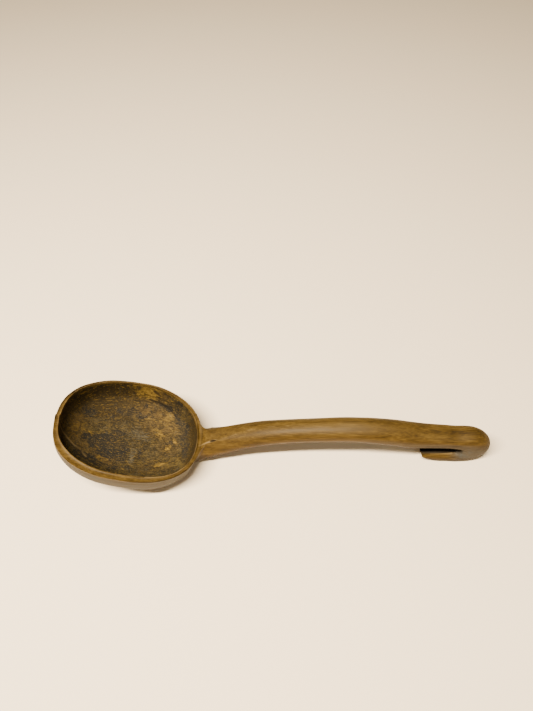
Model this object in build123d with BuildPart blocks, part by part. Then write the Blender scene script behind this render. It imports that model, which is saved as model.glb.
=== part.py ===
from build123d import *
from math import cos, pi, radians, sin
import os

# A hook-handled ladle carved from one billet of wood. An oval bowl lies toe up, a deep neck joins it
# to an arched grip, and the grip ends in a hook whose tongue points back towards the bowl.
# The billet is given here as five regions that meet face to face.
# Millimetres. +X runs from the toe of the bowl to the hook, +Z is up, and the ladle lies on Z = 0.

# overall
overall_length = 382.0
toe_x = -overall_length / 2
end_x = overall_length / 2

# bowl
bowl_length = 119.0         # along the rim, seen from above
bowl_width = 96.0           # across the rim
bowl_depth = 38.0           # outside, square to the rim
rim_tilt = 17.0             # degrees that the rim rises towards the toe
belly_shift = 4.0           # the widest place is this much nearer the neck than the toe
rim_wall = 4.0              # wall at the rim
floor_wall = 6.5            # wall at the bottom
wall_fullness = 3.0         # 2 is an ellipse in section, more is fuller
toe_squareness = 2.45       # 2 is an ellipse in plan, more is squarer
neck_squareness = 2.25
foot_sink = 1.0             # wood worn flat where the bowl stands

# neck and grip
neck_length = 34.0
neck_depth = 24.5           # where it meets the bowl
neck_inset = 14.0           # how far it is carried in under the rim, to meet the bowl all over
crown_height = 47.0         # top of the arch
grip_depth = 19.0           # at the top of the arch
grip_width = 21.6           # at the slimmest place

# hook
slot_gap = 8.0              # between the tongue and the grip above it
slot_length = 35.0          # from the tongue's tip to the closed end
tongue_thickness = 10.0
tongue_bevel = 9.0          # the tip is bevelled back this far underneath
tongue_lean = 4.5           # the foot of the hook leans this far to the near side
beam_depth = 18.0           # the grip where it passes over the slot
beam_taper = 1.6            # what it loses by the closed end
heel_length = 25.0          # solid wood past the slot
heel_round = 19.0           # length of the heel's rounded end
heel_tip_height = 19.0
tongue_foot_sink = 0.6      # wood worn flat where the tongue stands
hook_squareness = 2.8

outline_points = 24
section_points = 16

slot_end_x = end_x - heel_length
tongue_tip_x = slot_end_x - slot_length
grip_underside = tongue_thickness + slot_gap
beam_top = grip_underside + beam_depth
hook_height = beam_top - beam_taper

tilt = radians(rim_tilt)
# measured along the tilted rim, from the widest place
toe_half_length = (bowl_length / 2 + belly_shift) / cos(tilt)
neck_half_length = (bowl_length / 2 - belly_shift) / cos(tilt)


def wall_reach(along_rim, square_to_rim):
    """How far the wall's section, a superellipse, reaches past the rim's widest place."""
    power = wall_fullness / (wall_fullness - 1)
    return (along_rim**power + square_to_rim**power) ** (1 / power)


# The toe's wall bulges a little past the rim, and that bulge is at toe_x. The lowest point is
# foot_sink under the table, so that the table's plane cuts a small flat.
bowl_x = toe_x + wall_reach(toe_half_length * cos(tilt), bowl_depth * sin(tilt))
rim_height = wall_reach(neck_half_length * sin(tilt), bowl_depth * cos(tilt)) - foot_sink
neck_rim_x = bowl_x + neck_half_length * cos(tilt)
neck_end_x = neck_rim_x + neck_length
rim_neck_height = rim_height - neck_half_length * sin(tilt)

rim_plane = Plane(
    origin=(bowl_x, 0, rim_height),
    x_dir=(cos(tilt), 0, -sin(tilt)),
    z_dir=(sin(tilt), 0, cos(tilt)),
)


def signed_power(value, exponent):
    return abs(value) ** exponent * (1 if value >= 0 else -1)


def superellipse(angle, half_length, half_width, squareness):
    return (
        half_length * signed_power(cos(angle), 2 / squareness),
        half_width * signed_power(sin(angle), 2 / squareness),
    )


def bowl_outline(size, wall):
    """Points round the bowl at a share of its full size: longer and squarer towards the toe."""
    points = []
    for i in range(outline_points):
        angle = 2 * pi * i / outline_points
        to_toe = cos(angle) < 0
        half_length = (toe_half_length if to_toe else neck_half_length) - wall
        squareness = toe_squareness if to_toe else neck_squareness
        x, y = superellipse(angle, half_length, bowl_width / 2 - wall, squareness)
        points.append((x * size, y * size))
    return points


def bowl_levels(wall, depth):
    """Depth below the rim and outline, from the rim down to the bottom."""
    for share in (0.0, 0.16, 0.32, 0.48, 0.62, 0.75, 0.86, 0.94, 0.98):
        turn = share * pi / 2
        outline = bowl_outline(cos(turn) ** (2 / wall_fullness), wall)
        yield depth * sin(turn) ** (2 / wall_fullness), outline


def upright_oval(top, depth, half_width, squareness):
    """Points round a section across the stem."""
    points = []
    for i in range(section_points):
        y, z = superellipse(2 * pi * i / section_points, half_width, depth / 2, squareness)
        points.append((y, z + top - depth / 2))
    return points


def hook_oval(top, depth, half_width):
    """Points round a section across the hook, leaning to the near side at its foot."""
    points = []
    for y, z in upright_oval(top, depth, half_width, hook_squareness):
        lean = tongue_lean * max(1 - z / hook_height, 0) ** 2
        points.append((y - lean, z))
    return points


# ---- the bowl
with BuildPart() as bowl_outside:
    for depth, outline in bowl_levels(0, bowl_depth):
        with BuildSketch(rim_plane.offset(-depth)):
            with BuildLine():
                Spline(*outline, periodic=True)
            make_face()
    loft()
    split(bisect_by=Plane.XY, keep=Keep.TOP)

with BuildPart() as bowl_inside:
    for depth, outline in bowl_levels(rim_wall, bowl_depth - floor_wall):
        with BuildSketch(rim_plane.offset(-depth)):
            with BuildLine():
                Spline(*outline, periodic=True)
            make_face()
    loft()

with BuildPart() as bowl:
    add(bowl_outside.part)
    add(bowl_inside.part, mode=Mode.SUBTRACT)

bowl.part.label = "bowl"


# ---- the stem: neck and grip in one sweep of sections, parted where the grip begins
def along(share):
    """A place on the grip, from the neck (0) to the mouth of the hook (1)."""
    return neck_end_x + share * (tongue_tip_x - neck_end_x)


def climb(share):
    """A height on the near slope of the arch, from the rim (0) to the crown (1)."""
    return rim_neck_height + share * (crown_height - rim_neck_height)


def fall(share):
    """A height on the hook's slope of the arch, from the crown (1) to the hook (0)."""
    return beam_top + share * (crown_height - beam_top)


half_grip = grip_width / 2
# place, top, depth, half width, squareness
stem_sections = (
    (neck_rim_x - neck_inset, rim_neck_height - 1.0, neck_depth - 1.0, half_grip + 2.4, 2.6),
    (neck_rim_x - 3, rim_neck_height + 0.5, neck_depth, half_grip + 2.2, 2.6),
    (neck_rim_x + 0.25 * neck_length, climb(0.23), neck_depth - 0.9, half_grip + 1.7, 2.7),
    (neck_rim_x + 0.56 * neck_length, climb(0.34), neck_depth - 3.1, half_grip + 1.4, 2.6),
    (neck_end_x, climb(0.52), grip_depth + 1.2, half_grip + 1.1, 2.4),
    (along(0.175), climb(0.78), grip_depth + 0.2, half_grip + 0.5, 2.2),
    (along(0.325), climb(0.91), grip_depth, half_grip, 2.1),
    (along(0.58), crown_height, grip_depth, half_grip + 0.5, 2.1),
    (along(0.75), fall(0.80), grip_depth + 1.2, half_grip + 1.1, 2.2),
    (along(0.85), fall(0.53), grip_depth + 1.8, half_grip + 1.3, 2.3),
    (along(0.94), fall(0.24), beam_depth + 1.6, half_grip + 1.1, 2.4),
    (along(1.05), beam_top, beam_depth, half_grip + 0.3, 2.6),
    (slot_end_x, hook_height, beam_depth - beam_taper, half_grip - 0.2, hook_squareness),
)

with BuildPart() as stem:
    for x, top, depth, half_width, squareness in stem_sections:
        with BuildSketch(Plane.YZ.offset(x)):
            with BuildLine():
                Spline(*upright_oval(top, depth, half_width, squareness), periodic=True)
            make_face()
    loft()

with BuildPart() as neck:
    add(stem.part)
    split(bisect_by=Plane.YZ.offset(neck_end_x), keep=Keep.BOTTOM)
    add(bowl_outside.part, mode=Mode.SUBTRACT)
    split(bisect_by=Plane.XY, keep=Keep.TOP)

neck.part.label = "neck"

with BuildPart() as grip:
    add(stem.part)
    split(bisect_by=Plane.YZ.offset(neck_end_x), keep=Keep.TOP)

grip.part.label = "grip"

# ---- the hook: the heel fills the whole section past the slot, and the tongue is its foot
hook_depth = hook_height + tongue_foot_sink
# place, top, depth, half width
heel_sections = [(slot_end_x, hook_height, hook_depth, half_grip)]
for share in (0.0, 0.35, 0.62, 0.82, 0.94, 0.99):
    shrink = (1 - share**2) ** 0.5
    x = end_x - heel_round * (1 - share / 0.99)
    top = heel_tip_height + (hook_height - 1 - heel_tip_height) * shrink
    heel_sections.append((x, top, (hook_depth - 1) * shrink, (half_grip - 0.3) * shrink**0.8))

with BuildPart() as hook_heel:
    for x, top, depth, half_width in heel_sections:
        with BuildSketch(Plane.YZ.offset(x)):
            with BuildLine():
                Spline(*hook_oval(top, depth, half_width), periodic=True)
            make_face()
    loft()
    split(bisect_by=Plane.XY, keep=Keep.TOP)

hook_heel.part.label = "hook_heel"

with BuildPart() as hook_tongue:
    with BuildSketch(Plane.YZ.offset(tongue_tip_x)):
        with BuildLine():
            Spline(*hook_oval(hook_height, hook_depth, half_grip), periodic=True)
        make_face()
    extrude(amount=slot_length)
    split(bisect_by=Plane.XY.offset(tongue_thickness), keep=Keep.BOTTOM)
    split(bisect_by=Plane.XY, keep=Keep.TOP)
    with BuildSketch(Plane.XZ):
        with BuildLine():
            Polyline(
                (tongue_tip_x - 1, tongue_thickness - 2),
                (tongue_tip_x, tongue_thickness - 2),
                (tongue_tip_x + tongue_bevel, 0),
                (tongue_tip_x - 1, -1),
                close=True,
            )
        make_face()
    extrude(amount=grip_width, both=True, mode=Mode.SUBTRACT)

hook_tongue.part.label = "hook_tongue"

os.makedirs("parts", exist_ok=True)
export_step(bowl.part, "parts/bowl.step")
export_step(neck.part, "parts/neck.step")
export_step(grip.part, "parts/grip.step")
export_step(hook_heel.part, "parts/hook_heel.step")
export_step(hook_tongue.part, "parts/hook_tongue.step")
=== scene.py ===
import math

import bmesh
import bpy
import numpy as np
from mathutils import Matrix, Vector, noise


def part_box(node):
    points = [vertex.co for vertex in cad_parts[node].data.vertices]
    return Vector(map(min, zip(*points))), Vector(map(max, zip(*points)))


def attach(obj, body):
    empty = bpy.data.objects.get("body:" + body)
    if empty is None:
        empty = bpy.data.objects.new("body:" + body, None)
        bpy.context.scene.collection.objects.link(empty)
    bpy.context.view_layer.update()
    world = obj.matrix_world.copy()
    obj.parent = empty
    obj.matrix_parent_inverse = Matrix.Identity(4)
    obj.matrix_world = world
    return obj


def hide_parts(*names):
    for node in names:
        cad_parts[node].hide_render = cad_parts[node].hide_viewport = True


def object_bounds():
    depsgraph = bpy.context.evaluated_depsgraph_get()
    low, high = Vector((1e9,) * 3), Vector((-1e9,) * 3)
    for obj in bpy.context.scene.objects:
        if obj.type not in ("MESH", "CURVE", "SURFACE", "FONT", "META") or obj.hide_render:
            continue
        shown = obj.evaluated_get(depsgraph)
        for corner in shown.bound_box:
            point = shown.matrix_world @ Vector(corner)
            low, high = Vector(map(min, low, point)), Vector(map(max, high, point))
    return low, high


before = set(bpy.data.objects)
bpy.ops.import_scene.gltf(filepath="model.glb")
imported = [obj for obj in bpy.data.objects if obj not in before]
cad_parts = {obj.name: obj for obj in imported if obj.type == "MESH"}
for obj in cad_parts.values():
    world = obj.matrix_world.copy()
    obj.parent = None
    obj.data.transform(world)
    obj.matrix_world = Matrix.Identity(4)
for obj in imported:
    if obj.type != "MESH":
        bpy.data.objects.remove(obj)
cadLow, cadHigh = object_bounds()
mm = 0.001


# camera and room

camera = {
    "place": (-11.3, -225.7, 454.4),  # mm, above the near edge of the table
    "pitch": 53.5,                    # degrees below the horizon
    "lens": 27.04,                    # mm
    "sensor": 36,
}


def makeCamera():
    eye = bpy.data.cameras.new("camera")
    eye.lens = camera["lens"]
    eye.sensor_width = camera["sensor"]
    seat = bpy.data.objects.new("camera", eye)
    seat.location = [c * mm for c in camera["place"]]
    seat.rotation_euler = (math.radians(90 - camera["pitch"]), 0, 0)
    bpy.context.collection.objects.link(seat)
    bpy.context.scene.camera = seat


room = {
    "floorSize": 6.0,                 # m
    "floorColour": (0.89, 0.68, 0.42, 1),
    "floorRoughness": 0.9,
    "floorSpecular": 0.1,
    "worldColour": (1.0, 0.95, 0.86, 1),
    "worldStrength": 0.20,
    # name, place in m, length and width in m, power in W, colour
    "lamps": (
        ("overhead", (-0.36, -0.29, 1.1), (0.85, 0.08), 68.0, (1.0, 0.97, 0.92)),
        ("front", (0.25, -0.9, 0.8), (0.6, 0.6), 2.0, (1.0, 0.97, 0.93)),
    ),
}


def makeRoom():
    bm = bmesh.new()
    bmesh.ops.create_grid(bm, x_segments=1, y_segments=1, size=room["floorSize"] / 2)
    mesh = bpy.data.meshes.new("floor")
    bm.to_mesh(mesh)
    bm.free()
    floor = bpy.data.objects.new("floor", mesh)
    bpy.context.collection.objects.link(floor)
    paint = bpy.data.materials.new("paleTable")
    paint.use_nodes = True
    shader = paint.node_tree.nodes["Principled BSDF"]
    shader.inputs["Base Color"].default_value = room["floorColour"]
    shader.inputs["Roughness"].default_value = room["floorRoughness"]
    shader.inputs["Specular IOR Level"].default_value = room["floorSpecular"]
    mesh.materials.append(paint)
    world = bpy.data.worlds.new("studio")
    bpy.context.scene.world = world
    world.use_nodes = True
    backdrop = world.node_tree.nodes["Background"]
    backdrop.inputs["Color"].default_value = room["worldColour"]
    backdrop.inputs["Strength"].default_value = room["worldStrength"]
    middle = (cadLow + cadHigh) / 2
    for name, place, size, power, colour in room["lamps"]:
        lamp = bpy.data.lights.new(name, "AREA")
        lamp.shape = "RECTANGLE"
        lamp.size, lamp.size_y = size
        lamp.energy = power
        lamp.color = colour
        stand = bpy.data.objects.new(name, lamp)
        stand.location = place
        aim = (middle - Vector(place)).normalized()
        stand.rotation_euler = (math.asin(aim.y), math.atan2(-aim.x, -aim.z), 0)
        bpy.context.collection.objects.link(stand)


# the bowl's shape, in mm

bowlLow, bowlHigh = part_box("bowl")
bowl = {
    "length": 120.4,             # along the rim, seen from above
    "depth": 38.6,               # outside, square to the rim
    "tilt": math.radians(17),
    "bellyShift": 4.7,           # the widest place is this much nearer the neck
    "bellyDrift": 5.5,           # and the bottom lies this much nearer still
    "sideShift": -0.7,           # the bowl sits a little to the near side of the grip
    "floor": 6.5,
    "fullness": 3.0,             # 2 is an ellipse in section
    # 2 is an ellipse in plan; the four quarters from the neck's far side round to its near side
    "squareness": (2.08, 2.45, 2.42, 2.3),
    # thickness of the rim at even steps round from the neck by the far side
    "rimWalls": (4.4, 3.4, 2.2, 2.6, 3.8, 5.6, 5.0, 3.4),
    "rimRound": 0.9,
    "rimSoft": 0.7,              # the lip's top starts this share of the rounding in from the wall
    "lipInside": 0.3,            # how far inside the bowl the lip's inner edge counts as being
    # degrees down the wall of each row of points, outside from the bottom and inside from the rim
    "outsideTurns": (44, 30, 16, 4),
    "insideTurns": (18, 38, 60),
    "patchTurn": math.radians(60),   # where the round bottom's grid begins
    "spokes": 24,                # faces round the bowl, a multiple of 8
    # the inner surface: between these shares of the inside mark, and this far under the rim
    "innerShare": (0.45, 0.95),
    "innerUp": -2,
}
bowl["width"] = (bowlHigh.y - bowlLow.y) / mm + 0.8
toeHalf = (bowl["length"] / 2 + bowl["bellyShift"]) / math.cos(bowl["tilt"])
neckHalf = (bowl["length"] / 2 - bowl["bellyShift"]) / math.cos(bowl["tilt"])
bellyX = bowlHigh.x / mm - neckHalf * math.cos(bowl["tilt"])
bellyZ = bowlHigh.z / mm - toeHalf * math.sin(bowl["tilt"])


def signedPower(value, exponent):
    return math.copysign(abs(value) ** exponent, value)


# a point in the tilted bowl: along the rim towards the neck, across, and up out of the mouth
def fromRim(along, across, up):
    c, s = math.cos(bowl["tilt"]), math.sin(bowl["tilt"])
    return Vector((bellyX + along * c + up * s, across + bowl["sideShift"], bellyZ - along * s + up * c))


def rimWall(angle):
    walls = bowl["rimWalls"]
    step = angle % math.tau / math.tau * len(walls)
    low = int(step) % len(walls)
    share = (1 - math.cos((step - int(step)) * math.pi)) / 2
    return walls[low] * (1 - share) + walls[(low + 1) % len(walls)] * share


# a point on the wall: angle round from the neck, turn from the rim (0) to the bottom (90 degrees)
def wallPoint(angle, turn, wall, floor):
    toToe = math.cos(angle) < 0
    squareness = bowl["squareness"][int(angle % math.tau / (math.pi / 2)) % 4]
    size = max(math.cos(turn), 0) ** (2 / bowl["fullness"])
    deep = (bowl["depth"] - floor) * math.sin(turn) ** (2 / bowl["fullness"])
    halfLength = (toeHalf if toToe else neckHalf) - wall
    halfWidth = bowl["width"] / 2 - wall
    along = halfLength * size * signedPower(math.cos(angle), 2 / squareness)
    across = halfWidth * size * signedPower(math.sin(angle), 2 / squareness)
    along += bowl["bellyDrift"] * (deep / bowl["depth"]) ** 2
    return along, across, -deep


# building the cage

regions = ("bowl", "neck", "grip", "hook_heel", "hook_tongue")


# pulls a ring of new points out of an open edge, and returns it in the same order
def extrudeRing(bm, ring, places, region):
    edges = [bm.edges.get((a, b)) for a, b in zip(ring, ring[1:] + ring[:1])]
    made = bmesh.ops.extrude_edge_only(bm, edges=edges)["geom"]
    fresh = {v for v in made if isinstance(v, bmesh.types.BMVert)}
    for face in made:
        if isinstance(face, bmesh.types.BMFace):
            face.material_index = regions.index(region)
    newRing = []
    for old, place in zip(ring, places):
        new = next(e.other_vert(old) for e in old.link_edges if e.other_vert(old) in fresh)
        new.co = place
        newRing.append(new)
    return newRing


# a square grid bent into the round bottom of a bowl; returns its edge in order, from the neck round
def makeBottom(bm, thickness, floor, inside):
    cells = bowl["spokes"] // 4
    made = bmesh.ops.create_grid(bm, x_segments=cells, y_segments=cells, size=1)["verts"]
    mark = bm.verts.layers.float["inside"]
    rimShare = math.cos(bowl["patchTurn"]) ** (2 / bowl["fullness"])
    edge = []
    for v in made:
        x, y = v.co.x, v.co.y
        radius = max(abs(x), abs(y))
        if radius < 1e-6:
            angle = 0
        elif abs(x) >= abs(y):
            angle = math.pi / 4 * y / x + (math.pi if x < 0 else 0)
        else:
            angle = math.pi / 2 - math.pi / 4 * x / y + (math.pi if y < 0 else 0)
        turn = math.acos(min((radius * rimShare) ** (bowl["fullness"] / 2), 1))
        v.co = fromRim(*wallPoint(angle, turn, thickness(angle), floor))
        v[mark] = inside
        if radius > 0.999:
            edge.append((round(angle % math.tau / math.tau * bowl["spokes"]) % bowl["spokes"], v))
    return [v for _, v in sorted(edge, key=lambda pair: pair[0])]


def makeBowl(bm):
    mark = bm.verts.layers.float.new("inside")
    angles = [math.tau * i / bowl["spokes"] for i in range(bowl["spokes"])]
    edge = bowl["rimRound"]
    soft = edge * bowl["rimSoft"]

    def level(turn, thickness, floor=0.0, down=0.0):
        points = [wallPoint(angle, turn, thickness(angle), floor) for angle in angles]
        return [fromRim(along, across, up - down) for along, across, up in points]

    ring = makeBottom(bm, lambda angle: 0, 0, 0)
    outside = [ring]
    for turn in bowl["outsideTurns"]:
        ring = extrudeRing(bm, ring, level(math.radians(turn), lambda angle: 0), "bowl")
        outside.append(ring)
    lip = (
        (lambda angle: 0, edge, 0),
        (lambda angle: soft, 0, 0),
        (lambda angle: rimWall(angle) - soft, 0, bowl["lipInside"]),
        (rimWall, edge, 1),
    )
    for thickness, down, inside in lip:
        ring = extrudeRing(bm, ring, level(0, thickness, 0, down), "bowl")
        outside.append(ring)
        for v in ring:
            v[mark] = inside
    for turn in bowl["insideTurns"]:
        ring = extrudeRing(bm, ring, level(math.radians(turn), rimWall, bowl["floor"]), "bowl")
        for v in ring:
            v[mark] = 1
    makeBottom(bm, rimWall, bowl["floor"], 1)
    bmesh.ops.remove_doubles(bm, verts=bm.verts, dist=1e-3)
    return outside


# neck, grip and hook: one run of twelve-point rings out of the bowl's wall, in mm

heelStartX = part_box("hook_heel")[0].x / mm
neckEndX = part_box("grip")[0].x / mm
stem = {
    "firstPoint": 60,           # place of a section's first point in degrees, and the step to the next
    "pointStep": 30,
    # the neck's section from the middle of its top round by the far side, in half widths and half depths
    "neckSection": (
        (-0.02, 1.0), (0.44, 0.97), (0.70, 0.78), (0.95, 0.35), (1.0, -0.2), (0.78, -0.78),
        (0.0, -1.0), (-0.78, -0.8), (-1.02, -0.28), (-0.93, 0.3), (-0.60, 0.87), (-0.47, 1.0),
    ),
    # place, top, depth, half width, middle, share of the neck's section, squareness
    "stations": (
        (-64.0, 28.4, 22.0, 13.0, -0.3, 1.0, 2.4),
        (-57.5, 30.6, 22.0, 12.4, 0.0, 1.0, 2.4),
        (-48.0, 33.5, 21.9, 12.0, 0.4, 0.75, 2.4),
        (-35.0, 37.2, 20.2, 11.6, 0.8, 0.38, 2.3),
        (-20.0, 41.1, 19.3, 11.2, 1.0, 0.18, 2.2),
        (-2.0, 44.2, 19.0, 10.9, 1.0, 0.08, 2.1),
        (20.0, 46.4, 18.9, 10.7, 1.0, 0.03, 2.1),
        (44.0, 47.9, 18.9, 10.9, 1.0, 0.0, 2.1),
        (66.0, 48.0, 19.1, 11.2, 1.0, 0.0, 2.1),
        (86.0, 46.1, 20.0, 11.6, 1.0, 0.0, 2.15),
        (104.0, 42.9, 20.6, 11.8, 1.0, 0.0, 2.2),
        (120.0, 39.2, 19.9, 11.6, 0.8, 0.0, 2.3),
        (136.0, 36.5, 17.9, 10.9, 0.6, 0.0, 2.4),
        (150.0, 35.2, 16.6, 10.6, 0.3, 0.0, 2.5),
    ),
    "joinReach": 2.0,           # a station this near the neck's end is taken to be its end
}
hook = {
    "slotRadius": 4.0,
    "slotFill": 2.0,            # the slot's end is carved this much short of the heel
    "slotHeight": 14.2,
    # turn in degrees, reach of the outside, half width, drift to the near side, flare, squareness out, in
    "turns": (
        (0, 20.6, 10.5, 0.0, 0.0, 2.3, 3.0),
        (35, 26.0, 10.4, 0.6, 0.0, 2.2, 3.0),
        (65, 30.4, 10.0, 1.4, 0.0, 2.2, 2.8),
        (95, 30.0, 9.6, 2.0, 0.0, 2.1, 2.6),
        (125, 23.6, 9.0, 2.7, 0.1, 2.1, 2.6),
        (155, 16.6, 8.4, 3.2, 0.2, 2.3, 2.8),
        (180, 14.2, 8.0, 3.4, 0.3, 2.6, 3.0),
    ),
    # the tongue: distance back from the bend, top, bottom, half width
    "tongue": (
        (8.0, 10.5, 0.0, 7.6), (15.0, 10.8, 0.3, 7.5), (23.0, 10.9, 2.8, 7.1), (29.6, 10.8, 7.6, 6.5),
    ),
}


def stemSection(halfWidth, halfDepth, neckShare, outer, inner, flare=0.0):
    points = []
    for i, (neckY, neckH) in enumerate(stem["neckSection"]):
        angle = math.radians(stem["firstPoint"] - stem["pointStep"] * i)
        squareness = outer if math.sin(angle) > 0 else inner
        y = signedPower(math.cos(angle), 2 / squareness)
        h = signedPower(math.sin(angle), 2 / squareness)
        y, h = y + (neckY - y) * neckShare, h + (neckH - h) * neckShare
        points.append((y * halfWidth * (1 + flare * h), h * halfDepth))
    return points


def makeStem(bm, outside):
    # opens the bowl's wall at the neck: two faces wide and four deep, from the rim's outer edge down
    rows = outside[6:1:-1]
    inHole = {row[i] for row in rows for i in (-1, 0, 1)}
    hole = [f for f in bm.faces if all(v in inHole for v in f.verts)]
    ring = [rows[0][0], *(row[1] for row in rows), rows[-1][0], *(row[-1] for row in rows[::-1])]
    bmesh.ops.delete(bm, geom=hole, context="FACES")

    region = "bowl"
    for x, top, depth, halfWidth, middle, neckShare, squareness in stem["stations"]:
        section = stemSection(halfWidth, depth / 2, neckShare, squareness, squareness)
        places = [Vector((x, middle + y, top - depth / 2 + h)) for y, h in section]
        ring = extrudeRing(bm, ring, places, region)
        region = "neck" if x < neckEndX - stem["joinReach"] else "grip"

    slotEndX = heelStartX - hook["slotRadius"] - hook["slotFill"]
    for turn, reach, halfWidth, drift, flare, outer, inner in hook["turns"]:
        outward = Vector((math.sin(math.radians(turn)), 0, math.cos(math.radians(turn))))
        middle = Vector((slotEndX, -drift, hook["slotHeight"])) + outward * (reach + hook["slotRadius"]) / 2
        section = stemSection(halfWidth, (reach - hook["slotRadius"]) / 2, 0, outer, inner, flare)
        places = [middle + Vector((0, y, 0)) + outward * h for y, h in section]
        ring = extrudeRing(bm, ring, places, "grip" if turn == 0 else "hook_heel")
    for back, top, base, halfWidth in hook["tongue"]:
        section = stemSection(halfWidth, (top - base) / 2, 0, outer, inner, flare)
        places = [Vector((slotEndX - back, y - drift, (top + base) / 2 - h)) for y, h in section]
        ring = extrudeRing(bm, ring, places, "hook_tongue")
    # closes the tongue's tip with a grid
    sides = [bm.edges.get((ring[i], ring[i + 1])) for i in (1, 2, 3, 4, 7, 8, 9, 10)]
    for face in bmesh.ops.grid_fill(bm, edges=sides)["faces"]:
        face.material_index = regions.index("hook_tongue")


# moves the cage outwards until the smooth surface passes through the points it was given
def settle(bm, rounds=8):
    goals = {v: v.co.copy() for v in bm.verts}
    for _ in range(rounds):
        limits = {}
        for v in bm.verts:
            n = len(v.link_edges)
            near = sum((e.other_vert(v).co for e in v.link_edges), Vector())
            beside = {e.other_vert(v) for e in v.link_edges} | {v}
            across = sum((w.co for f in v.link_faces for w in f.verts if w not in beside), Vector())
            # where the smooth surface passes this point
            limits[v] = (v.co * n * n + near * 4 + across) / (n * (n + 5))
        for v, goal in goals.items():
            v.co += goal - limits[v]


def makeCage():
    bm = bmesh.new()
    outside = makeBowl(bm)
    makeStem(bm, outside)
    bmesh.ops.recalc_face_normals(bm, faces=bm.faces)
    print("cage:", len(bm.faces), "faces,", sum(e.is_boundary for e in bm.edges), "open edges")
    settle(bm)
    mesh = bpy.data.meshes.new("cage")
    bm.to_mesh(mesh)
    bm.free()
    mesh.shade_smooth()
    return mesh


# the smooth surface, the marks of the knife, and parting it into pieces

carving = {
    "levels": 4,                 # rounds of subdivision
    "facetDepth": 0.22,          # mm
    "rippleDepth": 0.07,
    "insideCalm": 0.5,           # share of both that is lost inside the bowl
    "strokeDepth": 0.16,         # the scraper's strokes inside the bowl
    "strokeClosing": 0.12,       # how near the strokes come to each other at their ends, squared
    "strokeRise": 0.5,           # their pattern changes this much with each mm up the wall
    "rimWander": 0.35,           # how far the rim strays up and down
    "rimReach": 5.0,             # and how far down the wall goes with it
    "rimEnd": 2.0,               # it stops this far out on the neck
    "splitAngle": math.radians(176),
    "splitStep": 0.8,            # the toe's grain has parted, and one lip stands proud
    "splitFade": 7.0,
    "splitLength": 30.0,
    "splitDepth": 14.0,
    "slit": (-58.6, -5.6),       # place of the open knot beside the neck's arris
    "slitHalf": (3.2, 0.9),
    "slitDepth": 1.6,
    "slitFacing": 0.2,           # only where the surface looks up more than this
}
# noise on the surface: its size in mm along, across and up, and the number of its pattern
noises = {
    "facets": ((27.5, 11.0, 11.0), 1),
    "ripples": ((12.0, 4.0, 4.0), 2),
    "strokes": ((22, 1.9, 1), 3),
    "rimWander": ((0.28, 0.28, 1), 4),      # round a circle of radius 1
    "stainEdges": ((9, 9, 9), 5),
    "arrisBreaks": ((7, 7, 7), 6),
    "openGrain": ((15, 1.2, 1.2), 7),
}
patternStep = np.array((17.3, 5.1, 9.7))


def subdivide(cage):
    holder = bpy.data.objects.new("cage", cage)
    bpy.context.collection.objects.link(holder)
    smooth = holder.modifiers.new("smooth", "SUBSURF")
    smooth.levels = smooth.render_levels = carving["levels"]
    ready = holder.evaluated_get(bpy.context.evaluated_depsgraph_get())
    mesh = bpy.data.meshes.new_from_object(ready)
    bpy.data.objects.remove(holder)
    return mesh


def readVectors(source, what):
    values = np.empty(len(source) * 3)
    source.foreach_get(what, values)
    return values.reshape(-1, 3)


def intoRim(points):
    c, s = math.cos(bowl["tilt"]), math.sin(bowl["tilt"])
    x, y, z = points[:, 0] - bellyX, points[:, 1] - bowl["sideShift"], points[:, 2] - bellyZ
    return x * c - z * s, y, x * s + z * c


# from 0 at the start to 1 at the end, whichever is the higher
def rise(value, start, end):
    return np.clip((value - start) / (end - start), 0, 1)


# 1 in the middle, and fading on both sides
def bump(value, middle, half):
    return np.exp(-(((value - middle) / half) ** 2))


def between(value, low, high):
    return (value > low) & (value < high)


def noiseAt(points, name):
    sizes, pattern = noises[name]
    scaled = points / np.array(sizes) + pattern * patternStep
    return np.array([noise.noise(p) for p in scaled.tolist()])


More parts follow.
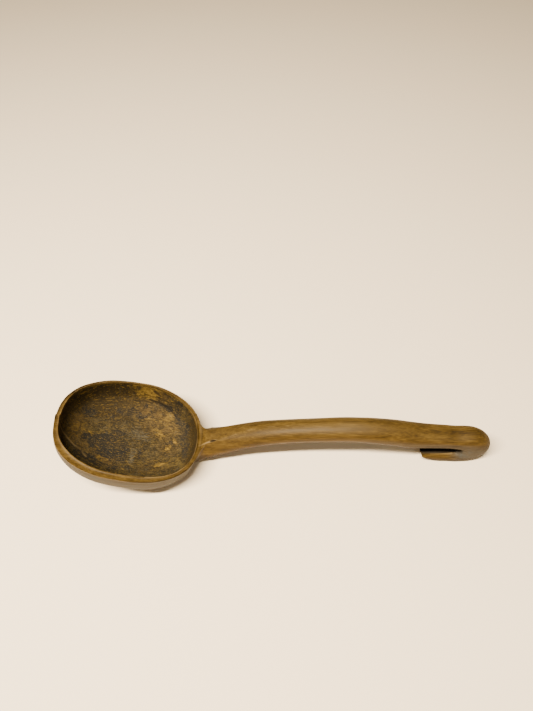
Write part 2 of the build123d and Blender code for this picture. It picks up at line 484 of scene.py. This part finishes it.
def carve(mesh):
    points = readVectors(mesh.vertices, "co")
    normals = readVectors(mesh.vertex_normals, "vector")
    inside = np.empty(len(points))
    mesh.attributes["inside"].data.foreach_get("value", inside)
    inside = np.clip(inside, 0, 1)
    along, across, up = intoRim(points)
    angle = np.arctan2(across / bowl["width"], along / bowl["length"]) % math.tau

    lift = carving["facetDepth"] * noiseAt(points, "facets")
    lift += carving["rippleDepth"] * noiseAt(points, "ripples")
    lift *= 1 - inside * carving["insideCalm"]

    # strokes run from toe to neck and close in on each other at both ends
    half = np.where(along < 0, toeHalf, neckHalf)
    narrow = np.sqrt(np.clip(1 - (along / half) ** 2, carving["strokeClosing"], 1))
    stroke = np.stack([along, across / narrow, up * carving["strokeRise"]], axis=1)
    lift -= inside * carving["strokeDepth"] * np.abs(noiseAt(stroke, "strokes"))
    points += normals * lift[:, None]

    # the rim strays a little
    nearRim = bump(up, 0, carving["rimReach"]) * (along < neckHalf + carving["rimEnd"])
    circle = np.stack([np.cos(angle), np.sin(angle), np.zeros(len(angle))], axis=1)
    points[:, 2] += nearRim * carving["rimWander"] * noiseAt(circle, "rimWander")

    # one lip of the split at the toe stands out past the other
    past = (angle - carving["splitAngle"]) * toeHalf
    step = np.where(past > 0, np.exp(-past / carving["splitFade"]), 0) * rise(up, -carving["splitDepth"], 0)
    points[:, 0] -= carving["splitStep"] * step * (np.abs(past) < carving["splitLength"])

    # the open knot
    x, y = carving["slit"]
    a, b = carving["slitHalf"]
    pit = ((points[:, 0] - x) / a) ** 2 + ((points[:, 1] - y) / b) ** 2
    pit = np.clip(1 - pit, 0, 1) * (normals[:, 2] > carving["slitFacing"])
    points -= normals * (carving["slitDepth"] * pit)[:, None]

    points[:, 2] = np.maximum(points[:, 2], 0)   # worn flat where it stands
    paint(mesh, points, normals, inside, stroke, pit)
    mesh.vertices.foreach_set("co", (points * mm).ravel())
    mesh.update()
    return mesh


# stains, wear, painted shade and painted highlights, kept as numbers on the surface's points

# each stain: along, across, half length, half width, turn in degrees, strength
stains = {
    # black and grey remains of food, on the bowl's floor
    "residue": (
        (-30, 0, 11, 8, 20, 0.95), (-16, 9, 11, 5, 25, 0.75), (-18, -11, 16, 7, -12, 1.1),
        (-8, -4, 8, 7, 30, 0.75), (6, -8, 4, 7, 10, 0.7), (-36, -20, 16, 5, -22, 0.95),
        (-42, 1, 5, 5, 0, 0.7), (-44, 24, 9, 7, 30, 0.55), (-22, 24, 9, 4, 5, 0.45),
        (33, 5, 5, 5, -30, 0.5), (47, -2, 5, 12, 0, 0.6), (22, 38, 12, 2.5, -24, 0.7),
        (6, 38, 2.2, 1.6, 30, 1.0), (36, 33, 6, 3, -45, 0.7), (46, 18, 3, 8, 15, 0.6),
        (20, -24, 14, 3, 12, 0.35), (-10, -24, 16, 4, -6, 0.55), (12, 22, 9, 2, -10, 0.45),
        (38, 26, 10, 6, -45, 0.55), (45, 10, 4, 14, 5, 0.55), (-4, 31, 26, 5, -3, 0.5),
        (-24, -4, 17, 13, 15, 0.75), (12, -14, 8, 9, 30, 0.4),
    ),
    # reddish wood that shows through
    "warm": (
        (24, 24, 18, 12, -35, 0.75), (10, 34, 22, 7, -4, 0.9), (32, 4, 10, 12, 0, 0.5),
        (-24, -17, 14, 5, -20, 0.8), (14, 16, 14, 6, -20, 0.6), (20, -20, 18, 8, 15, 0.5),
        (-44, -6, 6, 8, 0, 0.5), (8, 42, 34, 4, 0, 0.8), (-52, 8, 9, 16, 0, 0.9),
    ),
    # bare golden wood, rubbed clean
    "gold": (
        (-14, 0.5, 3.5, 3, 0, 0.9), (32, 2, 2.5, 4, -35, 1.1), (37, 8, 3, 5, 10, 0.8),
        (26, -16, 7, 2, 20, 0.8), (22, 14, 12, 5, -25, 0.6), (4, 46, 30, 2.6, -2, 0.8),
        (20, 40, 14, 3, -14, 0.4), (28, 27, 12, 8, -40, 0.55), (-38, 4, 1.2, 7, 35, 0.6),
        (-42, 5, 6, 1.2, -45, 0.7),
        (10, 27, 22, 7, -8, 0.45), (-27, -16, 12, 3, -25, 0.5), (40, -12, 8, 3, 40, 0.4),
        (35, 18, 6, 6, -40, 0.5), (-20, 34, 14, 3, 6, 0.3),
    ),
    # pale grey bloom
    "bloom": (
        (0, -12, 3.5, 11, -6, 0.85), (8, -26, 5, 7, -15, 0.45), (4, 10, 14, 10, -10, 0.7),
        (-20, -4, 5, 4, 10, 0.7), (-14, 20, 12, 6, 8, 0.4), (20, 0, 10, 8, 0, 0.25),
        (-30, 12, 8, 5, 20, 0.4), (-6, -16, 4, 5, 0, 0.4),
    ),
}
stainWobble = 2.2                # mm that a stain's edge strays
# painted shade inside the bowl: where it begins and is full along the bowl, the same across it, strength
paintedShade = (
    ((-46, -60), None, 0.1),        # in the corner of the toe
    ((14, -22), (14, 26), 0.95),    # high on the far wall, thinner towards the neck
    ((-4, -24), (-16, -26), 0.5),   # on the near wall by the toe
    ((40, 49), None, 0.8),          # under the neck
)


def stainShare(along, across, patches):
    total = np.zeros(len(along))
    for middle, side, halfLength, halfWidth, turn, strength in patches:
        c, s = math.cos(math.radians(turn)), math.sin(math.radians(turn))
        x, y = along - middle, across - side
        far = ((x * c + y * s) / halfLength) ** 2 + ((y * c - x * s) / halfWidth) ** 2
        total = np.maximum(total, strength * np.exp(-(far ** 1.5)))
    return total


def nearLine(along, across, line):
    best = np.full(len(along), 1e3)
    for (x0, y0), (x1, y1) in zip(line, line[1:]):
        length = (x1 - x0) ** 2 + (y1 - y0) ** 2
        share = np.clip(((along - x0) * (x1 - x0) + (across - y0) * (y1 - y0)) / length, 0, 1)
        best = np.minimum(best, np.hypot(along - x0 - share * (x1 - x0), across - y0 - share * (y1 - y0)))
    return best


# the bowl's plan at a point: 1 on the rim's outer edge, less inside it
def planReach(along, across, half, power):
    return (np.abs(along / half) ** power + np.abs(across * 2 / bowl["width"]) ** power) ** (1 / power)


def paintStainsAndShade(points, within):
    along, across = intoRim(points)[:2]
    wobble = noiseAt(points, "stainEdges") * stainWobble
    marks = {}
    for name, patches in stains.items():
        marks[name] = within * stainShare(along + wobble, across + wobble, patches)
    # painted shade inside the bowl, by place: the toe's corner, high on the far wall, the near wall by the
    # toe, the neck's end
    marks["paintedShade"] = np.zeros(len(along))
    for lengthwise, crosswise, strength in paintedShade:
        share = within * rise(along, *lengthwise) * strength
        marks["paintedShade"] += share * rise(across, *crosswise) if crosswise else share
    marks["paintedShade"] = np.clip(marks["paintedShade"], 0, 1)
    return marks


# cracks and dark lines, and painted shade in the hook's slot, in mm
cracksAndSlotShade = {
    # inside the bowl: points along and across, half width, whether the crack catches the light
    "lines": (
        (((-64, -2), (-58, -5), (-51, -10), (-44, -13), (-38, -19)), 0.55, True),
        (((8, 43), (18, 41), (27, 37), (36, 30)), 0.5, False),
        (((-6, 41), (4, 42), (12, 41)), 0.4, False),
        (((26, 10), (31, 4), (35, -1)), 0.4, False),
    ),
    "dark": 0.9,
    "brightDark": 0.4,           # of a crack that catches the light
    # painted shade in the hook's slot: x, z, and where it begins and is full across
    "slotX": (128, 166.5),
    "slotZ": (9.8, 19.2),
    "slotY": (-9.5, -7.0),
    "slotLevel": 1.5,            # level faces are this much darker than their slope says
    "slotDark": 0.95,
    # the cut that sets the neck off from the rim: place out from the rim, half width, half length
    "cutPlace": -0.2,
    "cutHalf": 0.55,
    "cutLength": 17,
    "cutFacing": 0.5,
    "cutDark": 0.45,
    # dark grain that has opened along the top of the hook
    "grainX": (118, 138),
    "grainShare": (3, 0.7),      # times the noise, less this
    "grainFacing": 0.1,
    "grainDark": 0.45,
    # a dark line along the rim's outer edge, except by the near side of the toe
    "edgePower": 2.3,            # squareness of its plan
    "edgeRadius": 48,
    "edgePlace": 0.2,
    "edgeHalf": 0.7,
    "edgeUp": (-1.7, 1.1),
    "edgeInside": 0.3,
    "edgeNear": (-4, 12),
    "edgeEnd": 4,                # it stops this short of the neck
    "edgeDark": 0.65,
    "knotDark": 3,               # times the open knot's depth
}


def paintCracksAndSlotShade(points, normals, inside, within, pit):
    along, across, up = intoRim(points)
    x, y, z = points.T
    crackAndSlotShade = np.zeros(len(x))
    shine = np.zeros(len(x))
    for line, half, bright in cracksAndSlotShade["lines"]:
        share = within * bump(nearLine(along, across, line), 0, half)
        if bright:
            shine = np.maximum(shine, share)
        crackAndSlotShade = np.maximum(crackAndSlotShade, share * cracksAndSlotShade["brightDark" if bright else "dark"])

    # painted shade in the hook's slot, darker on level faces and on faces that look towards the bowl
    slot = between(x, *cracksAndSlotShade["slotX"]) * between(z, *cracksAndSlotShade["slotZ"]) * rise(y, *cracksAndSlotShade["slotY"])
    facing = np.abs(normals[:, 2]) * cracksAndSlotShade["slotLevel"] + np.clip(-normals[:, 0], 0, 1)
    crackAndSlotShade = np.maximum(crackAndSlotShade, slot * np.clip(facing, 0, 1) * cracksAndSlotShade["slotDark"])

    reach = planReach(along, across, neckHalf, bowl["squareness"][0])
    cut = bump((reach - 1) * neckHalf, cracksAndSlotShade["cutPlace"], cracksAndSlotShade["cutHalf"]) * (along > 0)
    cut *= (np.abs(y) < cracksAndSlotShade["cutLength"]) * (normals[:, 2] > cracksAndSlotShade["cutFacing"]) * (1 - inside)
    crackAndSlotShade = np.maximum(crackAndSlotShade, cut * cracksAndSlotShade["cutDark"])

    times, less = cracksAndSlotShade["grainShare"]
    openGrain = np.clip(noiseAt(points, "openGrain") * times - less, 0, 1) * rise(x, *cracksAndSlotShade["grainX"])
    openGrain *= normals[:, 2] > cracksAndSlotShade["grainFacing"]
    crackAndSlotShade = np.maximum(crackAndSlotShade, openGrain * cracksAndSlotShade["grainDark"])

    reach = planReach(along, across, np.where(along < 0, toeHalf, neckHalf), cracksAndSlotShade["edgePower"])
    edge = bump((1 - reach) * cracksAndSlotShade["edgeRadius"], cracksAndSlotShade["edgePlace"], cracksAndSlotShade["edgeHalf"])
    edge *= between(up, *cracksAndSlotShade["edgeUp"]) * (inside < cracksAndSlotShade["edgeInside"])
    edge *= np.where(across > 0, 1, rise(along, *cracksAndSlotShade["edgeNear"])) * (along < neckHalf - cracksAndSlotShade["edgeEnd"])
    crackAndSlotShade = np.maximum(crackAndSlotShade, edge * cracksAndSlotShade["edgeDark"])
    return np.maximum(crackAndSlotShade, np.clip(pit * cracksAndSlotShade["knotDark"], 0, 1)), shine


# rubbed edges and painted highlights, in mm
rubsAndHighlights = {
    # the mouth's inner lip, worn lighter and with a painted highlight
    "lipUp": 1.5,
    "lipInside": (0.62, 0.22),   # middle and half width
    "lipEnd": 1,
    "lipCalmCorner": (12, -5),   # fainter up to this far along, and nearer than this
    "lipCalm": 0.2,
    "lipBright": 1.2,
    # the arris over the neck, worn lighter and with a painted highlight: x and y, then its half width
    "arris": ((-70, -7.9), (-64, -6.4), (-58, -5.6), (-44, -3.6), (-26, 0.2), (-8, 1.2), (14, 1.4)),
    "arrisHalf": 0.65,
    "arrisFacing": 0.3,
    "arrisStart": (-73, -69),
    "arrisWhole": -56,           # broken up from here on
    "arrisEnd": 8,
    "arrisBright": (0.8, 0.25),  # whole, and broken up
    "arrisShare": (2.5, 0.35),   # times the noise, and this more
    # a painted highlight along the top edge of the tongue
    "tongueZ": (10.2, 1.0),
    "tongueX": (138, 158),
    "tongueY": -6,
    "tongueBright": 0.6,
    # a painted highlight along the grip's top: middle and half length, middle and half width
    "gripShineX": (62, 44),
    "gripShineY": (-1, 5),
    "gripShineFacing": 0.2,
    "gripShineBright": 0.24,
}


def paintRubsAndHighlights(points, normals, inside, shine):
    along, across, up = intoRim(points)
    x, y, z = points.T
    lip = bump(up, 0, rubsAndHighlights["lipUp"]) * bump(inside, *rubsAndHighlights["lipInside"]) * (along < neckHalf + rubsAndHighlights["lipEnd"])
    calmAlong, calmAcross = rubsAndHighlights["lipCalmCorner"]
    lip *= np.where((across < calmAcross) & (along < calmAlong), rubsAndHighlights["lipCalm"], 1)

    arrisY = np.interp(x, *zip(*rubsAndHighlights["arris"]))
    arris = bump(y, arrisY, rubsAndHighlights["arrisHalf"]) * (normals[:, 2] > rubsAndHighlights["arrisFacing"])
    times, more = rubsAndHighlights["arrisShare"]
    whole, broken = rubsAndHighlights["arrisBright"]
    broken = broken * np.clip(noiseAt(points, "arrisBreaks") * times + more, 0, 1)
    arris *= rise(x, *rubsAndHighlights["arrisStart"]) * np.where(x < rubsAndHighlights["arrisWhole"], whole, broken)
    arris *= x < rubsAndHighlights["arrisEnd"]

    tongue = bump(z, *rubsAndHighlights["tongueZ"]) * between(x, *rubsAndHighlights["tongueX"]) * (y < rubsAndHighlights["tongueY"])
    gripShine = bump(x, *rubsAndHighlights["gripShineX"]) * bump(y, *rubsAndHighlights["gripShineY"]) * (normals[:, 2] > rubsAndHighlights["gripShineFacing"])
    # painted highlights on the tongue's edge, the grip's top and the crack that catches the light; the lip
    # and arris are worn and lit
    rubAndHighlight = np.maximum(np.maximum(lip * rubsAndHighlights["lipBright"], arris), tongue * rubsAndHighlights["tongueBright"])
    rubAndHighlight = np.maximum(np.maximum(rubAndHighlight, gripShine * rubsAndHighlights["gripShineBright"]), shine)
    return np.clip(rubAndHighlight, 0, 1)


# weathered grey, with a painted reflection of the pale table on faces that look sideways or down, and where
# the polish is dull; pairs say where it begins and where it is full, in mm
weatheredAndReflected = {
    "insideEnd": 3,              # times the inside mark that ends it
    "slope": (0.45, 0.05),       # how much the surface looks up
    # outside the bowl, under its rim
    "bowlX": (-69, -74),
    "bowlUp": (-1, -3),
    # the hook's side
    "hookX": (60, 140),
    "hookGrey": 0.75,
    # painted bounce light from the table, underneath the grip
    "underX": (-40, 20),
    "underSlope": (-0.25, -0.55),
    "underGrey": 0.6,
    # the foot of the neck
    "footX": (-48, -60),
    "footZ": (14, 6),
    "footEnd": -75,
    "lowZ": 20,                  # stronger below this
    "lowGrey": 1.3,
    # painted grey shade in the hollow beside the slot's end: middle and half size
    "hollowX": (168, 9),
    "hollowZ": (9, 8),
    "hollowY": -2,
    "hollowFacing": 0.1,
    # dull polish on the hook and by the neck
    "matteX": (95, 140),
    "matteZ": (16, 22),
    "matteNeckX": (5, -25),
    "matteNeckEnd": -66,
}


def paintWeatherAndReflection(points, normals, inside):
    up = intoRim(points)[2]
    x, y, z = points.T
    # weathered grey and a painted reflection of the pale table, only on faces that look sideways or down
    outer = (1 - np.clip(inside * weatheredAndReflected["insideEnd"], 0, 1)) * rise(normals[:, 2], *weatheredAndReflected["slope"])
    bowlSide = rise(x, *weatheredAndReflected["bowlX"]) * rise(up, *weatheredAndReflected["bowlUp"])
    stemSide = rise(x, *weatheredAndReflected["hookX"]) * weatheredAndReflected["hookGrey"]
    under = rise(x, *weatheredAndReflected["underX"]) * rise(normals[:, 2], *weatheredAndReflected["underSlope"])
    stemSide += under * weatheredAndReflected["underGrey"]
    foot = rise(x, *weatheredAndReflected["footX"]) * rise(z, *weatheredAndReflected["footZ"])
    stemSide += foot * (x > weatheredAndReflected["footEnd"])
    stemSide *= np.where(z < weatheredAndReflected["lowZ"], weatheredAndReflected["lowGrey"], 1)
    hollow = bump(x, *weatheredAndReflected["hollowX"]) * bump(z, *weatheredAndReflected["hollowZ"])
    hollow *= (y < weatheredAndReflected["hollowY"]) * (normals[:, 1] < weatheredAndReflected["hollowFacing"])
    return np.clip(outer * (bowlSide + stemSide) + hollow, 0, 1)


def paintMatte(points):
    x, z = points[:, 0], points[:, 2]
    hookMatte = rise(x, *weatheredAndReflected["matteX"]) * rise(z, *weatheredAndReflected["matteZ"])
    neckMatte = rise(x, *weatheredAndReflected["matteNeckX"]) * (x > weatheredAndReflected["matteNeckEnd"])
    return np.maximum(hookMatte, neckMatte)


def paint(mesh, points, normals, inside, stroke, pit):
    up = intoRim(points)[2]
    within = rise(inside, *bowl["innerShare"]) * (up < bowl["innerUp"])
    marks = paintStainsAndShade(points, within)
    marks["crackAndSlotShade"], shine = paintCracksAndSlotShade(points, normals, inside, within, pit)
    marks["rubAndHighlight"] = paintRubsAndHighlights(points, normals, inside, shine)
    marks["weatherAndReflection"] = paintWeatherAndReflection(points, normals, inside)
    marks["matte"] = paintMatte(points)
    marks["inner"] = within
    for name, values in marks.items():
        mesh.attributes.new(name, "FLOAT", "POINT").data.foreach_set("value", values)
    mesh.attributes.new("stroke", "FLOAT_VECTOR", "POINT").data.foreach_set("vector", stroke.ravel())
    print("stains and wear:", ", ".join(marks))


# parts the surface into closed pieces whose shading runs on over the joins
def partPieces(mesh):
    normals = readVectors(mesh.vertex_normals, "vector")
    mesh.attributes.new("outward", "FLOAT_VECTOR", "POINT").data.foreach_set("vector", normals.ravel())
    pieces = []
    for index, name in enumerate(regions):
        bm = bmesh.new()
        bm.from_mesh(mesh)
        others = [f for f in bm.faces if f.material_index != index]
        bmesh.ops.delete(bm, geom=others, context="FACES")
        openEdges = [e for e in bm.edges if e.is_boundary]
        caps = set(bmesh.ops.holes_fill(bm, edges=openEdges, sides=0)["faces"])
        bm.faces.index_update()
        capped = {f.index for f in caps}
        for f in bm.faces:
            f.material_index = 0
            f.smooth = True
        part = bpy.data.meshes.new(name)
        bm.to_mesh(part)
        bm.free()
        outward = readVectors(part.attributes["outward"].data, "vector")
        corners = np.empty(len(part.loops), dtype=np.int64)
        part.loops.foreach_get("vertex_index", corners)
        shading = outward[corners]
        for i in capped:
            face = part.polygons[i]
            shading[face.loop_start:face.loop_start + face.loop_total] = face.normal
        part.attributes.remove(part.attributes["outward"])
        part.normals_split_custom_set(shading.tolist())
        piece = bpy.data.objects.new("carved_" + name, part)
        bpy.context.collection.objects.link(piece)
        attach(piece, "root")
        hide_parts(name)
        pieces.append(piece)
        print(piece.name, len(part.polygons), "faces,", len(capped), "joins")
    return pieces


# the wood: colours are linear, and coordinates are the row's own in metres

wood = {
    "light": (0.090, 0.0480, 0.0075),
    "middle": (0.047, 0.0232, 0.0022),
    "deep": (0.019, 0.0086, 0.0008),
    "bowl": (0.043, 0.0290, 0.0105),
    "bowlDeep": (0.0095, 0.0062, 0.0017),
    "olive": (0.052, 0.0330, 0.0060),
    "warm": (0.066, 0.0330, 0.0058),
    "gold": (0.185, 0.1000, 0.0120),
    "residue": (0.0046, 0.0046, 0.0040),
    # painted shade inside the bowl
    "paintedShade": (0.0135, 0.0074, 0.0012),
    "bloom": (0.062, 0.0520, 0.0320),
    # weathered grey, and a painted reflection of the pale table
    "weatherAndReflection": (0.044, 0.0430, 0.0350),
    # worn edges, and painted highlights on the lip, arris, tongue, grip and one crack
    "rubAndHighlight": (0.210, 0.1300, 0.0460),
    # cracks and dark lines, and painted shade in the hook's slot
    "crackAndSlotShade": (0.004, 0.0025, 0.0012),
    "specular": 0.21,
    "sheen": (1.0, 0.80, 0.54, 1),   # colour of the polish's shine
    "roughness": 0.32,
    "innerDull": 0.26,               # how much rougher inside the bowl, and so on
    "weatherAndReflectionDull": 0.14,
    "matteDull": 0.16,
    "streakDull": 0.32,
    "scrapeRelief": 1.4,             # of the strokes in the bowl, where the grain's is 1
    "reliefStrength": 0.6,
    "reliefDepth": 0.0004,           # m
    "edgeBreak": 2.4,                # how much a texture breaks up a stain's edge
    "mottled": (0.44, 0.56),         # the mottle's limits where the flecks show
}
# textures: laid along the billet or along the strokes, scale, detail, roughness, distortion
textures = {
    "broad": ("billet", (9, 210, 210), 2.0, 0.5, 0.1),
    "fine": ("billet", (70, 1500, 1500), 3.0, 0.65, 0.2),
    "cloud": ("billet", (38, 60, 60), 3.0, 0.55, 0.0),
    "pores": ("billet", (260, 1300, 1300), 2.0, 0.5, 0.0),
    "scrape": ("strokes", (0.17, 0.9, 0.5), 4.0, 0.68, 1.4),
    "scratch": ("strokes", (0.26, 2.2, 1.2), 2.0, 0.6, 1.6),
    "mottle": ("billet", (150, 200, 180), 5.0, 0.72, 0.8),
    "speck": ("billet", (560, 700, 640), 3.0, 0.6, 0.5),
    "drift": ("billet", (46, 60, 60), 3.0, 0.6, 0.0),
}
# textures added up from others, each with its share
blends = {
    "streak": (("broad", 0.4), ("fine", 0.6)),
    "broken": (("scrape", 0.25), ("mottle", 0.5), ("speck", 0.25)),
}
# stains, and the painted shade inside the bowl, whose edges a texture breaks up
brokenMarks = {"gold": "scrape", "bloom": "scrape", "paintedShade": "broken", "residue": "broken"}
# coats from the bare wood up: colour, texture, where it begins and is full, strength, mask
coats = {
    "skin": (
        ("middle", "streak", 0.34, 0.50, 1.0, None),
        ("light", "streak", 0.46, 0.66, 1.0, None),
        ("deep", "cloud", 0.52, 0.72, 0.35, None),
        ("deep", "pores", 0.66, 0.74, 0.6, None),
    ),
    "bowl": (
        ("bowl", "scrape", 0.36, 0.60, 1.0, None),
        ("olive", "drift", 0.50, 0.66, 0.5, None),
        ("bowlDeep", "mottle", 0.45, 0.54, 0.85, None),
        ("warm", "broken", 0.62, 0.38, 0.7, "warm"),
        ("gold", "goldStain", 1.60, 2.15, 0.85, None),
        ("bloom", "bloomStain", 1.55, 2.35, 0.7, None),
        # painted shade inside the bowl, its edges broken up
        ("paintedShade", "paintedShadeStain", 1.40, 2.10, 0.92, None),
        ("residue", "residueStain", 1.50, 1.80, 0.94, None),
        ("residue", "speck", 0.58, 0.66, 0.8, None),
        ("bloom", "speck", 0.42, 0.34, 0.45, "mottled"),
        ("gold", "scratch", 0.57, 0.67, 0.6, None),
        ("bowlDeep", "scratch", 0.44, 0.32, 0.75, None),
    ),
    "wear": (
        # weathered grey, and a painted reflection of the pale table
        ("weatherAndReflection", "streak", 0.30, 0.62, 0.95, "weatherAndReflection"),
        # worn edges and painted highlights
        ("rubAndHighlight", "cloud", 0.20, 0.55, 0.85, "rubAndHighlight"),
    ),
}


def addNode(tree, kind, settings=(), **inputs):
    made = tree.nodes.new(kind)
    for name, value in dict(settings).items():
        setattr(made, name, value)
    for name, value in inputs.items():
        target = made.inputs[int(name[1:])] if name[0] == "n" and name[1:].isdigit() else made.inputs[name]
        if isinstance(value, bpy.types.NodeSocket):
            tree.links.new(value, target)
        else:
            target.default_value = value
    return made


def mark(tree, name):
    return addNode(tree, "ShaderNodeAttribute", {"attribute_name": name}).outputs["Fac"]


# noise over the wood, from 0 to 1
def grainNoise(tree, where, scale, detail, roughness, distortion):
    placed = addNode(tree, "ShaderNodeMapping", Vector=where, Scale=scale).outputs["Vector"]
    made = addNode(tree, "ShaderNodeTexNoise", Vector=placed, Scale=1.0, Detail=detail,
                   Roughness=roughness, Distortion=distortion)
    return made.outputs["Fac"]


def calc(tree, operation, a, b, c=0.0):
    return addNode(tree, "ShaderNodeMath", {"operation": operation}, n0=a, n1=b, n2=c).outputs[0]


# a value spread from 0 at low to 1 at high
def spread(tree, value, low, high):
    made = addNode(tree, "ShaderNodeMapRange", {"interpolation_type": "SMOOTHSTEP"}, Value=value)
    made.inputs["From Min"].default_value = low
    made.inputs["From Max"].default_value = high
    return made.outputs["Result"]


def mix(tree, share, low, high):
    made = tree.nodes.new("ShaderNodeMix")
    made.data_type = "RGBA"
    for index, value in ((0, share), (6, low), (7, high)):
        if isinstance(value, bpy.types.NodeSocket):
            tree.links.new(value, made.inputs[index])
        else:
            made.inputs[index].default_value = (*value, 1) if isinstance(value, tuple) else value
    return made.outputs[2]


# adds values to a total, each times its own share
def addUp(tree, total, parts):
    for value, share in parts:
        total = calc(tree, "MULTIPLY_ADD", value, share, total)
    return total


def layCoats(tree, colour, rows, values, masks):
    for name, texture, low, high, strength, mask in rows:
        share = spread(tree, values[texture], low, high)
        if mask:
            share = calc(tree, "MULTIPLY", masks[mask], share)
        colour = mix(tree, calc(tree, "MULTIPLY", share, strength), colour, wood[name])
    return colour


def makeWood():
    material = bpy.data.materials.new("oldWood")
    material.use_nodes = True
    tree = material.node_tree
    shader = tree.nodes["Principled BSDF"]
    laid = {
        "billet": addNode(tree, "ShaderNodeTexCoord").outputs["Object"],
        "strokes": addNode(tree, "ShaderNodeAttribute", {"attribute_name": "stroke"}).outputs["Vector"],
    }
    values = {name: grainNoise(tree, laid[how], *rest) for name, (how, *rest) in textures.items()}
    for name, parts in blends.items():
        values[name] = addUp(tree, 0.0, [(values[part], share) for part, share in parts])
    for name, texture in brokenMarks.items():
        values[name + "Stain"] = addUp(tree, mark(tree, name), [(values[texture], wood["edgeBreak"])])
    masks = {name: mark(tree, name) for name in ("warm", "weatherAndReflection", "rubAndHighlight", "inner", "matte", "crackAndSlotShade")}
    masks["mottled"] = spread(tree, values["mottle"], *wood["mottled"])

    skin = layCoats(tree, wood["deep"], coats["skin"], values, masks)
    inner = layCoats(tree, wood["bowlDeep"], coats["bowl"], values, masks)
    colour = mix(tree, masks["inner"], skin, inner)
    colour = layCoats(tree, colour, coats["wear"], values, masks)
    # cracks and dark lines, with painted shade in the hook's slot
    colour = mix(tree, masks["crackAndSlotShade"], colour, wood["crackAndSlotShade"])
    tree.links.new(colour, shader.inputs["Base Color"])

    dull = [(masks[name], wood[name + "Dull"]) for name in ("inner", "weatherAndReflection", "matte")]
    dull.append((values["streak"], wood["streakDull"]))
    tree.links.new(addUp(tree, wood["roughness"], dull), shader.inputs["Roughness"])
    shader.inputs["Specular IOR Level"].default_value = wood["specular"]
    shader.inputs["Specular Tint"].default_value = wood["sheen"]

    # fine relief: the grain, and the strokes in the bowl
    strokes = calc(tree, "MULTIPLY", values["scrape"], wood["scrapeRelief"])
    height = calc(tree, "MULTIPLY_ADD", masks["inner"], strokes, values["streak"])
    relief = addNode(tree, "ShaderNodeBump", Height=height, Strength=wood["reliefStrength"],
                     Distance=wood["reliefDepth"])
    tree.links.new(relief.outputs["Normal"], shader.inputs["Normal"])
    return material


makeCamera()
makeRoom()
print("camera and room done")
surface = carve(subdivide(makeCage()))
print("surface carved:", len(surface.vertices), "points")
pieces = partPieces(surface)
finish = makeWood()
for piece in pieces:
    piece.data.materials.clear()
    piece.data.materials.append(finish)
print("wood done")
